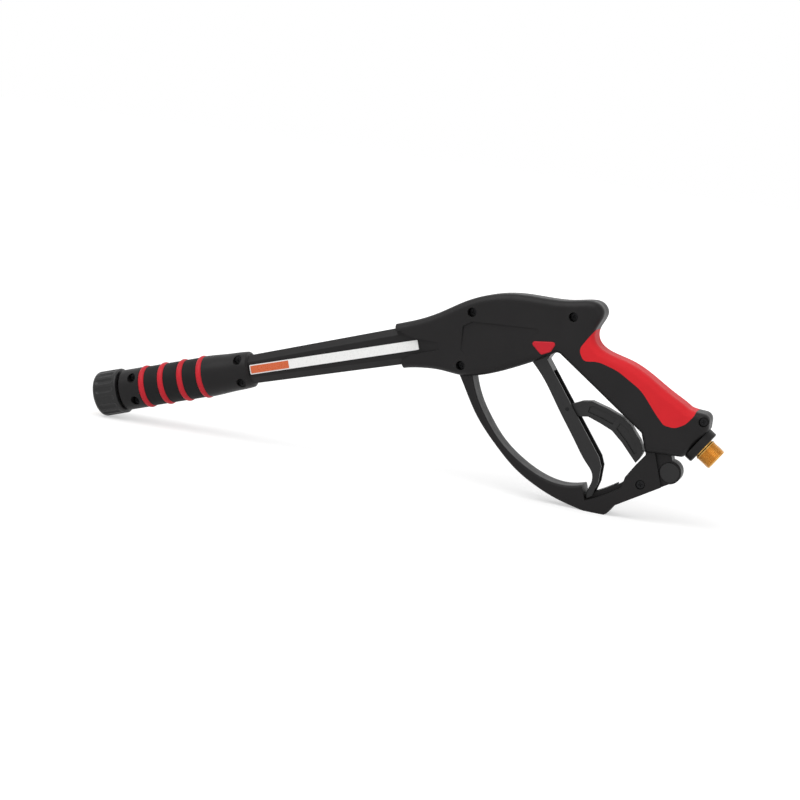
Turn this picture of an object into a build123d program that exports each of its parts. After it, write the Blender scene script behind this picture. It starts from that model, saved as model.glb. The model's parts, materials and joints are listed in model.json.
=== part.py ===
"""High-pressure washer spray gun with a ribbed front grip, trigger guard and brass hose inlet.

The gun is drawn with its barrel level: X runs back along the barrel from the face of the
coupling knob, Z is up and the gun's left side faces -Y. The last lines of the script stand it
on the knob and on the pad of the trigger guard, which is how it lies on a bench.
"""
import os
from math import asin, atan2, cos, degrees, hypot, radians, sin, sqrt, tan

from build123d import *

# ---------------------------------------------------------------- driving dimensions (mm)
SEAM = 0.1                 # half of the parting gap between two moulded halves
RUN = 0.06                 # radial clearance of a pin that turns in its hole
FIT = 0.05                 # radial clearance of a seated part
REVEAL = 0.4               # gap between a moving part and what it passes

# lance tube and front coupling
LANCE_R = 7.0              # steel lance tube
LANCE_BORE_R = 4.5
KNOB_FRONT = 8.5           # front face of the coupling knob
KNOB_LENGTH = 26.5
KNOB_R = 22.5
KNOB_ROUND = 4.0           # rounding of the knob's front rim
KNOB_FLUTES = 16
FLUTE_R = 6.0              # radius of the cutter that sinks a flute
FLUTE_DEPTH = 1.1
FLUTE_LENGTH = 13.0
THREAD_R = 10.19           # minor radius of the M22 x 1.5 female thread
NUT_R = 14.0               # brass nut pressed into the knob
NUT_LENGTH = 22.5
THREAD_LENGTH = 10.4       # thread in the nut, ahead of the relief the nipple's flange turns in
THREAD_RELIEF = 0.8
NUT_WALL = 4.5             # rear wall of the nut, which turns on the nipple's neck
NECK_R = 7.0               # nipple neck
FLANGE_LENGTH = 3.0
SOCKET_R = 9.5             # nipple socket screwed over the lance tube
SOCKET_LENGTH = 14.0
SEAL_RING = 1.2            # section radius of the outlet seal

# front grip
GRIP_GAP = 1.5             # gap between the knob and the front grip
GRIP_R = 20.3
GRIP_REAR_R = 17.6
GRIP_LENGTH = 140.5
GRIP_CORE_R = 17.3         # core that carries the rings and bands
GRIP_WALL = 3.0
RING_COUNT = 4
RING_FIRST = 26.0          # first ring behind the grip's front face
RING_PITCH = 21.1
RING_WIDTH = 6.0
RING_R = 21.2
BAND_R = 19.9
GRIP_SCREW_INSET = 15.5    # front screw pair behind the grip's front face
GRIP_SCREW_REAR = 10.0     # rear screw pair ahead of the grip's rear face
GRIP_SCREW_Z = 11.4

# barrel shroud and the strip on its flat side
SHROUD_FRONT_H = 14.0      # half height behind the front grip
SHROUD_REAR_H = 18.4       # half height inside the body
SHROUD_W = 13.5            # half width over the flat sides
SHROUD_BEVEL = 6.5
SHROUD_DROP = 1.7          # how far its centre line sinks towards the body
SHROUD_WALL = 2.5
BODY_FRONT = 334.0         # front edge of the body collar
SHROUD_IN_BODY = 40.0
STRIP_H = 9.4
STRIP_THICK = 0.7
STRIP_RECESS = 0.35
STRIP_END = 18.5           # how far the strip reaches past the collar's front edge
STRIP_MARGIN = 1.0
BLOCK_LENGTH = 40.0
BLOCK_THICK = 0.3

# body, handle and guard
BODY_W = 18.0              # half width of body and handle
BODY_ROUND = 7.5
BODY_WALL = 4.4
INLAY_THICK = 2.2          # soft red grip inlay
GUARD_W = 12.0             # half width of the trigger guard
GUARD_ROUND = 2.4
TONGUE_W = 8.0             # half width of the rear end of the guard
TONGUE_R = 11.0
RAIL_W = 5.5
PAD_X, PAD_Z = 159.0, -183.6    # lowest point of the guard's pad, from the collar
CAP_R = 9.3
CAP_THICK = 2.2
CAP_PROUD = 1.0
BOLT_R = 3.0
ACCENT_ROUND = 2.4

# trigger and lock lever
PIVOT_X, PIVOT_Z = 140.0, -22.0  # trigger pivot, from the collar
TRIGGER_W = 9.0
TRIGGER_INSIDE = 7.0
TRIGGER_PIN_R = 3.0
TRIGGER_HEAD_R = 8.5
TRIGGER_TRAVEL = 10.0      # degrees
LOCK_X, LOCK_Z = 149.3, -84.5    # lock lever pivot, from the collar
LOCK_W = 5.5
LOCK_PIN_R = 1.75
LOCK_HEAD_R = 3.8
LOCK_POCKET = 1.8
MOUTH_W = 6.8              # half width of the slot the lock lever folds out of
RAIL_ARC_R = 144.2         # the rail under the trigger's tip, about the trigger pivot

# valve
VALVE_FRONT = 50.0         # from the collar
VALVE_LENGTH = 66.0
VALVE_W = 11.0
VALVE_TOP, VALVE_BOTTOM = 11.0, -19.0
CARTRIDGE_Z = -10.0        # axis of the valve cartridge and push pin
CARTRIDGE_R = 6.5
PORT_Z = 4.0               # axis of the inlet tube where it enters the valve
LANCE_SOCKET = 14.0
PUSH_PIN_R = 2.0
PUSH_PIN_REACH = 11.0      # how far the push pin stands behind the valve body
BALL_R = 3.5

# inlet
INLET_X, INLET_Z = 266.9, -139.1   # where the inlet thread leaves its collar, from the barrel axis
INLET_ANGLE = 52.3         # below the barrel
INLET_R = 11.0             # M22 male thread, major radius
INLET_LENGTH = 16.0
INLET_BORE_R = 5.0
INLET_BODY_R = 10.0
INLET_BODY_LENGTH = 24.0
TUBE_R = 5.0               # inlet tube inside the handle
TUBE_BORE_R = 3.5
COLLAR_R = 17.0
COLLAR_THICK = 7.6

# screws
SCREW_R = 1.75
SCREW_HEAD_R = 3.7
SCREW_HEAD_H = 2.6
SCREW_HOLE_R = 4.4
BOSS_R = 6.0


# ---------------------------------------------------------------- helpers
def body_point(x: float, z: float) -> tuple[float, float]:
    """A place on the gun's side view, measured from the collar and the barrel axis."""
    return (BODY_FRONT + x, z)


def inlet_point(along: float, across: float = 0.0) -> tuple[float, float]:
    """A place on the side view, measured along and across the inlet axis."""
    run, drop = cos(radians(INLET_ANGLE)), sin(radians(INLET_ANGLE))
    x, z = body_point(INLET_X, INLET_Z)
    return (x + along * run + across * drop, z - along * drop + across * run)


def inlet_plane(along: float) -> Plane:
    """The plane square to the inlet axis, facing out of the inlet."""
    x, z = inlet_point(along)
    run, drop = cos(radians(INLET_ANGLE)), sin(radians(INLET_ANGLE))
    return Plane(origin=(x, 0, z), x_dir=(0, -1, 0), z_dir=(run, 0, -drop))


def about_pivot(radius: float, x: float) -> tuple[float, float]:
    """The point below the trigger pivot on a circle about it, at a distance x from the collar."""
    return body_point(x, PIVOT_Z - sqrt(radius**2 - (x - PIVOT_X) ** 2))


def side_plane(y: float = 0.0) -> Plane:
    """The side view's plane, moved y towards the gun's left."""
    return Plane.XZ.offset(y)


def half(whole: Part, side: Keep) -> Part:
    """One moulded half, cut back from the parting plane by the seam."""
    face = side_plane(SEAM if side == Keep.TOP else -SEAM)
    with BuildPart() as moulded:
        add(whole)
        split(bisect_by=face, keep=side)
    return moulded.part


def finish(name: str, piece: Part) -> None:
    """Label a finished piece and keep it for export."""
    piece.label = name
    pieces[name] = piece


pieces: dict[str, Part] = {}
barrel = Axis((0, 0, 0), (1, 0, 0))

# stations that several pieces share
KNOB_REAR = KNOB_FRONT + KNOB_LENGTH
GRIP_FRONT = KNOB_REAR + GRIP_GAP
GRIP_REAR = GRIP_FRONT + GRIP_LENGTH
SHROUD_REAR = BODY_FRONT + SHROUD_IN_BODY
VALVE_X = BODY_FRONT + VALVE_FRONT
VALVE_REAR = VALVE_X + VALVE_LENGTH
NUT_FRONT = KNOB_FRONT + 1.0
NUT_REAR = NUT_FRONT + NUT_LENGTH
THREAD_FRONT = NUT_FRONT + 1.2
THREAD_REAR = THREAD_FRONT + THREAD_LENGTH
FLANGE_REAR = NUT_REAR - NUT_WALL - REVEAL
FLANGE_FRONT = FLANGE_REAR - FLANGE_LENGTH
SOCKET_FRONT = GRIP_FRONT + REVEAL
LANCE_FRONT = SOCKET_FRONT + 2.0
PIVOT = body_point(PIVOT_X, PIVOT_Z)
LOCK = body_point(LOCK_X, LOCK_Z)
TONGUE = body_point(PAD_X + 74.5, PAD_Z + 27.6)

# the bench plane touches the knob's rounded rim and the guard's pad
pad_x, pad_z = body_point(PAD_X, PAD_Z)
rim_x, rim_z = KNOB_FRONT + KNOB_ROUND, -(KNOB_R - KNOB_ROUND)
STANCE = atan2(rim_z - pad_z, pad_x - rim_x) - asin(KNOB_ROUND / hypot(pad_x - rim_x, pad_z - rim_z))
bench = Plane(origin=(pad_x, 0, pad_z), x_dir=(0, 1, 0), z_dir=(sin(STANCE), 0, cos(STANCE)))

# ---------------------------------------------------------------- front coupling
with BuildPart(Plane.YZ.offset(KNOB_FRONT + KNOB_LENGTH * 0.52)) as flute:
    Cylinder(FLUTE_R, FLUTE_LENGTH)
    with Locations((0, 0, FLUTE_LENGTH / 2), (0, 0, -FLUTE_LENGTH / 2)):
        Sphere(FLUTE_R)

with BuildPart() as knob:
    with BuildSketch(Plane.XZ) as profile:
        with Locations(((KNOB_FRONT + KNOB_REAR) / 2, (KNOB_R + NUT_R) / 2)):
            Rectangle(KNOB_LENGTH, KNOB_R - NUT_R)
        rim = profile.vertices().group_by(Axis.X)[0].sort_by(Axis.Y)[-1]
        fillet(rim, KNOB_ROUND)
        fillet(profile.vertices().group_by(Axis.X)[-1].sort_by(Axis.Y)[-1], 1.5)
    revolve(axis=barrel)
    for turn in range(KNOB_FLUTES):
        angle = (turn + 0.5) * 360 / KNOB_FLUTES
        reach = KNOB_R + FLUTE_R - FLUTE_DEPTH
        place = Location((0, reach * cos(radians(angle)), reach * sin(radians(angle))))
        add(flute.part.moved(place), mode=Mode.SUBTRACT)
finish("coupling_knob", knob.part)

with BuildPart() as nut:
    with BuildSketch(Plane.XZ) as profile:
        with BuildLine():
            Polyline(
                (NUT_FRONT, THREAD_R + 1.2), (NUT_FRONT, NUT_R), (NUT_REAR, NUT_R),
                (NUT_REAR, NECK_R + RUN), (NUT_REAR - NUT_WALL, NECK_R + RUN),
                (NUT_REAR - NUT_WALL, THREAD_R + THREAD_RELIEF), (THREAD_REAR, THREAD_R + THREAD_RELIEF),
                (THREAD_REAR, THREAD_R), (THREAD_FRONT, THREAD_R), close=True,
            )
        make_face()
    revolve(axis=barrel)
finish("coupling_nut", nut.part)

with BuildPart() as nipple:
    with BuildSketch(Plane.XZ):
        with BuildLine():
            Polyline(
                (FLANGE_FRONT, LANCE_BORE_R), (FLANGE_FRONT, THREAD_R - REVEAL),
                (FLANGE_REAR, THREAD_R - REVEAL), (FLANGE_REAR, NECK_R), (SOCKET_FRONT, NECK_R),
                (SOCKET_FRONT, SOCKET_R), (SOCKET_FRONT + SOCKET_LENGTH, SOCKET_R),
                (SOCKET_FRONT + SOCKET_LENGTH, LANCE_R), (LANCE_FRONT, LANCE_R),
                (LANCE_FRONT, LANCE_BORE_R), close=True,
            )
        make_face()
    revolve(axis=barrel)
finish("outlet_nipple", nipple.part)

with BuildPart() as outlet_seal:
    with BuildSketch(Plane.XZ):
        with Locations((FLANGE_FRONT - SEAL_RING, LANCE_BORE_R + SEAL_RING + 0.6)):
            Circle(SEAL_RING)
    revolve(axis=barrel)
finish("outlet_seal", outlet_seal.part)

with BuildPart() as lance:
    with BuildSketch(Plane.YZ.offset(LANCE_FRONT)):
        Circle(LANCE_R)
        Circle(LANCE_BORE_R, mode=Mode.SUBTRACT)
    extrude(amount=VALVE_X + LANCE_SOCKET - LANCE_FRONT)
finish("lance_tube", lance.part)

# ---------------------------------------------------------------- front grip
ring_stations = [GRIP_FRONT + RING_FIRST + RING_PITCH * i for i in range(RING_COUNT)]
core_front = ring_stations[0] - RING_WIDTH / 2
core_rear = ring_stations[-1] + RING_WIDTH / 2
grip_screws_at = [
    (x, z)
    for x in (GRIP_FRONT + GRIP_SCREW_INSET, GRIP_REAR - GRIP_SCREW_REAR)
    for z in (GRIP_SCREW_Z, -GRIP_SCREW_Z)
]

with BuildPart() as grip:
    with BuildSketch(Plane.XZ) as profile:
        with BuildLine():
            Polyline(
                (GRIP_FRONT, LANCE_R + FIT), (GRIP_FRONT, GRIP_R - 1.6), (GRIP_FRONT + 1.6, GRIP_R),
                (core_front, GRIP_R), (core_front, GRIP_CORE_R), (core_rear, GRIP_CORE_R),
                (core_rear, GRIP_R),
            )
            Spline(
                (core_rear, GRIP_R), (GRIP_REAR - 22, GRIP_R - 1.5), (GRIP_REAR - 2, GRIP_REAR_R),
                tangents=[(1, 0), (1, -0.16)],
            )
            Polyline(
                (GRIP_REAR - 2, GRIP_REAR_R), (GRIP_REAR, GRIP_REAR_R - 2.4),
                (GRIP_REAR, LANCE_R + FIT), (GRIP_FRONT, LANCE_R + FIT),
            )
        make_face()
    revolve(axis=barrel)
    # room for the nipple's socket, and lightening pockets between the ribs that hold the lance
    with BuildSketch(Plane.XZ):
        with Locations((GRIP_FRONT + SOCKET_LENGTH / 2, (SOCKET_R + FIT) / 2)):
            Rectangle(SOCKET_LENGTH + 2, SOCKET_R + FIT)
    revolve(axis=barrel, mode=Mode.SUBTRACT)
    bays = [(core_front + 2, core_front + 32), (core_front + 36, core_rear - 2), (core_rear + 2, GRIP_REAR - 18)]
    with BuildSketch(Plane.XZ):
        for bay_front, bay_rear in bays:
            bay_middle = (bay_front + bay_rear) / 2
            with Locations((bay_middle, (GRIP_CORE_R - GRIP_WALL + LANCE_R) / 2 + 0.5)):
                Rectangle(bay_rear - bay_front, GRIP_CORE_R - GRIP_WALL - LANCE_R - 1.0)
    revolve(axis=barrel, mode=Mode.SUBTRACT)

grip_half_left, grip_half_right = half(grip.part, Keep.TOP), half(grip.part, Keep.BOTTOM)
head_y = 7.6               # the screw heads bed this far left of the seam
screw_tail = 8.0
with BuildPart() as foregrip_left:
    add(grip_half_left)
    with BuildSketch(side_plane(0)):
        with Locations(*grip_screws_at):
            Circle(SCREW_R + FIT)
    extrude(amount=GRIP_R, mode=Mode.SUBTRACT)
    with BuildSketch(side_plane(head_y)):
        with Locations(*grip_screws_at):
            Circle(SCREW_HOLE_R)
    extrude(amount=GRIP_R, mode=Mode.SUBTRACT)
finish("foregrip_left", foregrip_left.part)

with BuildPart() as foregrip_right:
    add(grip_half_right)
    with BuildSketch(side_plane(-screw_tail - FIT)):
        with Locations(*grip_screws_at):
            Circle(SCREW_R + FIT)
    extrude(amount=screw_tail + 1, mode=Mode.SUBTRACT)
finish("foregrip_right", foregrip_right.part)


def screw_group(places: list[tuple[float, float]], head: float, tail: float) -> Part:
    """Pan-head screws driven from the gun's left, one solid for each place."""
    with BuildPart() as screws:
        with BuildSketch(side_plane(-tail)):
            with Locations(*places):
                Circle(SCREW_R)
        extrude(amount=head + tail)
        with BuildSketch(side_plane(head)):
            with Locations(*places):
                Circle(SCREW_HEAD_R)
        extrude(amount=SCREW_HEAD_H)
        with BuildSketch(side_plane(head + SCREW_HEAD_H)):
            with Locations(*places):
                Rectangle(SCREW_HEAD_R * 1.1, 0.9)
                Rectangle(0.9, SCREW_HEAD_R * 1.1)
        extrude(amount=-1.4, mode=Mode.SUBTRACT)
    return screws.part


finish("foregrip_screws", screw_group(grip_screws_at, head_y, screw_tail))

for number, station in enumerate(ring_stations, start=1):
    with BuildPart() as ring:
        with BuildSketch(Plane.XZ):
            with BuildLine():
                Polyline(
                    (station + RING_WIDTH / 2, RING_R - 1.5), (station + RING_WIDTH / 2, GRIP_CORE_R),
                    (station - RING_WIDTH / 2, GRIP_CORE_R), (station - RING_WIDTH / 2, RING_R - 1.5),
                )
                ThreePointArc(
                    (station - RING_WIDTH / 2, RING_R - 1.5), (station, RING_R),
                    (station + RING_WIDTH / 2, RING_R - 1.5),
                )
            make_face()
        revolve(axis=barrel)
    finish(f"grip_ring_{number}", ring.part)

for number in range(1, RING_COUNT):
    band_front = ring_stations[number - 1] + RING_WIDTH / 2
    band_length = RING_PITCH - RING_WIDTH
    with BuildPart() as band:
        with BuildSketch(Plane.YZ.offset(band_front)):
            Circle(BAND_R)
            Circle(GRIP_CORE_R, mode=Mode.SUBTRACT)
        extrude(amount=band_length)
        chamfer(band.edges().filter_by(GeomType.CIRCLE).group_by(SortBy.RADIUS)[-1], 0.4)
    finish(f"grip_band_{number}", band.part)


# ---------------------------------------------------------------- barrel shroud
def shroud_form(inset: float, front: float, rear: float) -> Part:
    """The tapered shroud between two stations, its faces moved in by inset."""
    with BuildPart() as form:
        for station in (front, rear):
            share = (station - GRIP_REAR) / (SHROUD_REAR - GRIP_REAR)
            height = SHROUD_FRONT_H + (SHROUD_REAR_H - SHROUD_FRONT_H) * share - inset
            width = SHROUD_W - inset
            bevel = SHROUD_BEVEL - inset * 0.6
            with BuildSketch(Plane.YZ.offset(station)) as section:
                with Locations((0, -SHROUD_DROP * share)):
                    Rectangle(2 * width, 2 * height)
                chamfer(section.vertices(), bevel)
                fillet(section.vertices(), 1.2)
        loft(ruled=True)
    return form.part


shroud_outer = shroud_form(0, GRIP_REAR, SHROUD_REAR)
shroud_inner = shroud_form(SHROUD_WALL, GRIP_REAR + SHROUD_WALL, SHROUD_REAR - SHROUD_WALL)
strip_front = GRIP_REAR + 1.5
strip_rear = BODY_FRONT + STRIP_END
strip_tilt = degrees(atan2(2.6, strip_rear - strip_front))
strip_middle = ((strip_front + strip_rear) / 2, -1.4)
strip_length = strip_rear - strip_front

# ribs between the shroud's walls carry the lance tube
with BuildPart() as shroud_ribs:
    for share in (0.25, 0.5, 0.75):
        with Locations((GRIP_REAR + (SHROUD_REAR - GRIP_REAR) * share, 0, 0)):
            Box(SHROUD_WALL, 2 * SHROUD_W, 2.4 * SHROUD_REAR_H)
    add(shroud_outer, mode=Mode.INTERSECT)

with BuildPart() as shroud:
    add(shroud_outer)
    add(shroud_inner, mode=Mode.SUBTRACT)
    add(shroud_ribs.part)
    with BuildSketch(Plane.YZ.offset(GRIP_REAR - 1)):
        Circle(LANCE_R + FIT)
    extrude(amount=SHROUD_REAR - GRIP_REAR + 2, mode=Mode.SUBTRACT)

with BuildPart() as shroud_left:
    add(half(shroud.part, Keep.TOP))
    with BuildSketch(side_plane(SHROUD_W - STRIP_RECESS)):
        with Locations(Location((strip_middle[0], strip_middle[1], 0), (0, 0, -strip_tilt))):
            RectangleRounded(strip_length + 0.6, STRIP_H + 0.6, 1.2)
    extrude(amount=3, mode=Mode.SUBTRACT)
finish("shroud_left", shroud_left.part)
finish("shroud_right", half(shroud.part, Keep.BOTTOM))

with BuildPart() as strip:
    with BuildSketch(side_plane(SHROUD_W - STRIP_RECESS)):
        with Locations(Location((strip_middle[0], strip_middle[1], 0), (0, 0, -strip_tilt))):
            RectangleRounded(strip_length, STRIP_H, 1.0)
    extrude(amount=STRIP_THICK)
finish("side_strip", strip.part)

with BuildPart() as block:
    with BuildSketch(side_plane(SHROUD_W - STRIP_RECESS + STRIP_THICK)):
        with Locations(Location((strip_middle[0], strip_middle[1], 0), (0, 0, -strip_tilt))):
            with Locations((-strip_length / 2 + STRIP_MARGIN + BLOCK_LENGTH / 2, 0)):
                RectangleRounded(BLOCK_LENGTH, STRIP_H - 2 * STRIP_MARGIN, 0.5)
    extrude(amount=BLOCK_THICK)
finish("strip_block", block.part)


# ---------------------------------------------------------------- body, handle and guard
def moved_in(before: Vector, here: Vector, after: Vector, inset: float) -> Vector:
    """A corner of a clockwise outline moved in by inset from both of its edges."""
    arriving, leaving = (here - before).normalized(), (after - here).normalized()
    inward = Vector(arriving.Y + leaving.Y, -arriving.X - leaving.X)
    return here + inward * (2 * inset / inward.dot(inward))


def inset_curve(curve: Edge, steps: int, inset: float) -> list[Vector]:
    """Points along a clockwise curve, each moved in by inset."""
    stations = [step / steps for step in range(steps + 1)]
    return [
        curve @ station + Vector((curve % station).Y, -(curve % station).X) * inset
        for station in stations
    ]


def casing_outline(inset: float) -> Sketch:
    """The side view of body and handle, moved in by inset; corners are rounded on the skin only."""
    back = Spline(
        body_point(0, 20.3), body_point(25, 21.2), body_point(46, 24.5), body_point(69, 30),
        body_point(97, 32.3), body_point(122, 28.6), body_point(148, 20.2),
        body_point(171, 14.0), body_point(186.2, 11.8), body_point(196.4, 7.0),
        body_point(199.2, -2.2), body_point(193.8, -10.4), body_point(188, -17.7),
        body_point(187, -26), body_point(191.2, -34), body_point(199, -40.6),
        body_point(215.5, -51.5), body_point(231, -66.3), body_point(247, -84.6),
        body_point(259.5, -98), body_point(268.5, -104.2),
        tangents=[(1, 0.02), (11.7, -4.8)],
    )
    belly = Spline(
        body_point(150.5, -30.6), body_point(136, -33.6), body_point(114.5, -37.4),
        body_point(94, -39.8), body_point(72, -40.4), body_point(54, -37.5),
        body_point(37, -30.5), body_point(18, -25), body_point(0, -22.4),
        tangents=[(-1, -0.1), (-1, 0.05)],
    )
    corners = [
        back @ 1, Vector(*body_point(280.2, -109)),
        Vector(*inlet_point(-COLLAR_THICK - SEAM, COLLAR_R)),
        Vector(*inlet_point(-COLLAR_THICK - SEAM, -COLLAR_R)),
        Vector(*body_point(215, -134)), Vector(*body_point(214.6, -116)), belly @ 0,
        belly @ 0 + belly % 0,
    ]
    heel, end_back, end_front, lip, web, chin = [
        moved_in(*corners[index - 1:index + 2], inset) for index in range(1, 7)
    ]
    back_points = inset_curve(back, 24, inset)
    belly_points = [chin, *inset_curve(belly, 10, inset)[1:]]
    with BuildSketch() as outline:
        with BuildLine():
            if inset:
                back = Spline(*back_points, tangents=[back % 0, back % 1])
                belly = Spline(*belly_points, tangents=[belly % 0, belly % 1])
            else:
                add(back)
                add(belly)
            Polyline(back @ 1, heel, end_back, end_front, lip, web, chin)
            Line(belly @ 1, back @ 0)
        make_face()
        if not inset:
            for place, radius in ((heel, 7.0), (end_back, 5.0), (end_front, 4.0), (chin, 5.0)):
                fillet(outline.vertices().sort_by_distance(place)[0:1], radius)
    return outline.sketch


def casing_form() -> Part:
    """Body and handle as one smooth form with a rounded rim."""
    outline = casing_outline(0)
    with BuildPart() as form:
        with BuildSketch(side_plane(-BODY_W)):
            add(outline)
        extrude(amount=2 * BODY_W)
        rim = form.faces().filter_by(Axis.Y).edges()
        rim = rim.filter_by(lambda e: e.center().X > BODY_FRONT + 0.5)
        fillet(rim, BODY_ROUND)
    return form.part


def inner_form(depth: float) -> Part:
    """The form left inside the casing under a wall of one depth, its rim cut in three steps."""
    reach = BODY_ROUND - depth
    steps = [
        (BODY_W - BODY_ROUND + reach * sin(turn), casing_outline(BODY_ROUND - reach * cos(turn)))
        for turn in (0, radians(45), radians(90))
    ]
    with BuildPart() as form:
        for width, outline in steps:
            with BuildSketch(side_plane(-width)):
                add(outline)
            extrude(amount=2 * width)
    return form.part


def side_prism(points: list[tuple[float, float]], y_from: float, y_to: float) -> Part:
    """A straight-sided block through the side view's outline, between two widths."""
    with BuildPart() as prism:
        with BuildSketch(side_plane(y_from)):
            with BuildLine():
                Polyline(*[body_point(*point) for point in points], close=True)
            make_face()
        extrude(amount=y_to - y_from)
    return prism.part


casing_outer = casing_form()
casing_cavity = inner_form(BODY_WALL)

with BuildPart() as guard:
    with BuildSketch(side_plane(-GUARD_W)):
        with BuildLine():
            Spline(
                body_point(50, -26), body_point(52.8, -38), body_point(61.8, -75.7),
                body_point(75.9, -107.9), body_point(91, -133), body_point(107, -150.8),
                body_point(124, -165.2), body_point(141, -176.2), body_point(152, -182.6),
                tangents=[(0.15, -1), (1, -0.55)],
            )
            Polyline(
                body_point(152, -182.6), body_point(161, -187.4), body_point(170, -185.6),
                body_point(178, -179.2), body_point(231, -166.8),
            )
            ThreePointArc(body_point(231, -166.8), body_point(244.4, -156), body_point(238, -146))
            Polyline(
                body_point(238, -146), body_point(238, -132), body_point(217, -124),
                body_point(215.2, -136.5), body_point(204, -144.8), body_point(193, -154),
                body_point(187.6, -163.6),
            )
            ThreePointArc(
                body_point(187.6, -163.6), about_pivot(RAIL_ARC_R + 5, 170), about_pivot(RAIL_ARC_R + 5, 151.6),
            )
            Line(about_pivot(RAIL_ARC_R + 5, 151.6), body_point(151.6, -156.2))
            Spline(
                body_point(151.6, -156.2), body_point(133, -153.6), body_point(114, -143.4),
                body_point(96.5, -126.8), body_point(80.2, -103.4), body_point(71, -80),
                body_point(65.8, -57), body_point(65.5, -38), body_point(69, -30),
                tangents=[(-1, 0), (0.5, 1)],
            )
            Line(body_point(69, -30), body_point(50, -26))
        make_face()
    extrude(amount=2 * GUARD_W)
    rims = guard.faces().filter_by(Axis.Y).edges().filter_by(lambda e: e.length > 60)
    fillet(rims, GUARD_ROUND)
    # the rear tongue is narrower than the guard
    for side in (TONGUE_W, -TONGUE_W):
        with BuildSketch(side_plane(side)):
            with Locations(body_point(246, -150)):
                Rectangle(44, 70)
        extrude(amount=GUARD_W if side > 0 else -GUARD_W, mode=Mode.SUBTRACT)

with BuildPart() as rail:
    with BuildSketch(side_plane(-RAIL_W)):
        with BuildLine():
            Line(about_pivot(RAIL_ARC_R, 150.5), about_pivot(RAIL_ARC_R + 8, 150.5))
            ThreePointArc(
                about_pivot(RAIL_ARC_R + 8, 150.5), about_pivot(RAIL_ARC_R + 8, 170),
                about_pivot(RAIL_ARC_R + 8, 190),
            )
            Line(about_pivot(RAIL_ARC_R + 8, 190), about_pivot(RAIL_ARC_R, 190))
            ThreePointArc(
                about_pivot(RAIL_ARC_R, 190), about_pivot(RAIL_ARC_R, 170), about_pivot(RAIL_ARC_R, 150.5),
            )
        make_face()
    extrude(amount=2 * RAIL_W)

# soft inlay on the back of the handle: the outermost skin inside its outline
inlay_corners = [
    (body_point(171.2, -31), 8), (body_point(173.6, -42.6), 6), (body_point(187, -44.9), 25),
    (body_point(203, -55.5), 50), (body_point(222, -77), 40), (body_point(231.8, -101), 14),
    (body_point(237, -111.6), 8), (body_point(246.5, -115.8), 12), (body_point(257, -113.6), 14),
    (body_point(266, -107), 8),
]
with BuildPart() as inlay_region:
    with BuildSketch(side_plane(-BODY_W - 1)) as region:
        with BuildLine():
            Polyline(
                body_point(196, -10), *[corner for corner, radius in inlay_corners],
                body_point(272, -96), body_point(279, -90), body_point(230, -30), close=True,
            )
        make_face()
        for corner, radius in inlay_corners:
            fillet(region.vertices().sort_by_distance((*corner, 0))[0:1], radius)
    extrude(amount=2 * BODY_W + 2)

inlay_floor = inner_form(INLAY_THICK)
with BuildPart() as inlay_room:
    add(inlay_region.part)
    add(inlay_floor, mode=Mode.SUBTRACT)

with BuildPart() as inlay:
    add(casing_outer)
    add(inlay_region.part, mode=Mode.INTERSECT)
    add(inlay_floor, mode=Mode.SUBTRACT)
finish("grip_inlay", inlay.part)

# screws of the casing: place on the side view and how far left the head beds
casing_screws_at = [
    (body_point(77, 19.1), 8.0), (body_point(171.3, -0.9), 8.0), (body_point(57.1, -28.3), 8.0),
    (body_point(273.0, -114.0), 12.0), (body_point(205.6, -163.2), 8.0),
]
screw_places = [place for place, head in casing_screws_at]
casing_tail = 10.5
pin_seat = BODY_W - 3.2

# the inlet tube runs from the valve down the handle
tube_line = [
    inlet_point(-INLET_BODY_LENGTH + 10), inlet_point(-62), body_point(170, -27),
    body_point(152, PORT_Z), (VALVE_REAR - 12, PORT_Z),
]


def tube(radius: float, bore: float) -> Part:
    """The inlet tube's bent run at a given radius, hollow if it has a bore."""
    with BuildPart() as bent:
        with BuildLine() as route:
            FilletPolyline(*[(x, 0, z) for x, z in tube_line], radius=14)
        with BuildSketch(Plane(origin=route.line @ 0, z_dir=route.line % 0)):
            Circle(radius)
            if bore:
                Circle(bore, mode=Mode.SUBTRACT)
        sweep(path=route.line)
    return bent.part


finish("inlet_tube", tube(TUBE_R, TUBE_BORE_R))

# the left half's hollow, less the bosses and ribs that stay standing in it
with BuildPart() as hollow:
    add(half(casing_cavity, Keep.TOP))
    with BuildSketch(side_plane(0)):
        with Locations(*screw_places[:4]):
            Circle(BOSS_R)
    extrude(amount=BODY_W, mode=Mode.SUBTRACT)
    with Locations((BODY_FRONT + 20, -BODY_W / 2, 0)):
        Box(44, BODY_W, 80, mode=Mode.SUBTRACT)
    with Locations((VALVE_X + 8, -BODY_W / 2, 0), (VALVE_REAR - 10, -BODY_W / 2, 0)):
        Box(BODY_WALL, BODY_W, 90, mode=Mode.SUBTRACT)
    for along in (-42, -96):
        with BuildSketch(inlet_plane(along)):
            with Locations((BODY_W / 2, -16.5)):
                Rectangle(BODY_W, 27)
        extrude(amount=BODY_WALL, mode=Mode.SUBTRACT)
    with BuildSketch(side_plane(TRIGGER_W + REVEAL)):
        with Locations(PIVOT):
            Circle(TRIGGER_PIN_R + 3)
    extrude(amount=BODY_W, mode=Mode.SUBTRACT)

# what the left half makes room for
with BuildPart() as room:
    add(shroud_form(-0.25, GRIP_REAR, SHROUD_REAR))
    with BuildSketch(Plane.YZ.offset(SHROUD_REAR - 1)):
        Circle(LANCE_R + FIT)
    extrude(amount=20)
    with BuildSketch(side_plane(-VALVE_W - FIT)):
        with Locations(((VALVE_X + VALVE_REAR) / 2, (VALVE_TOP + VALVE_BOTTOM) / 2)):
            Rectangle(VALVE_LENGTH + 0.6, VALVE_TOP - VALVE_BOTTOM + 2 * FIT)
    extrude(amount=2 * (VALVE_W + FIT))

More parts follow.
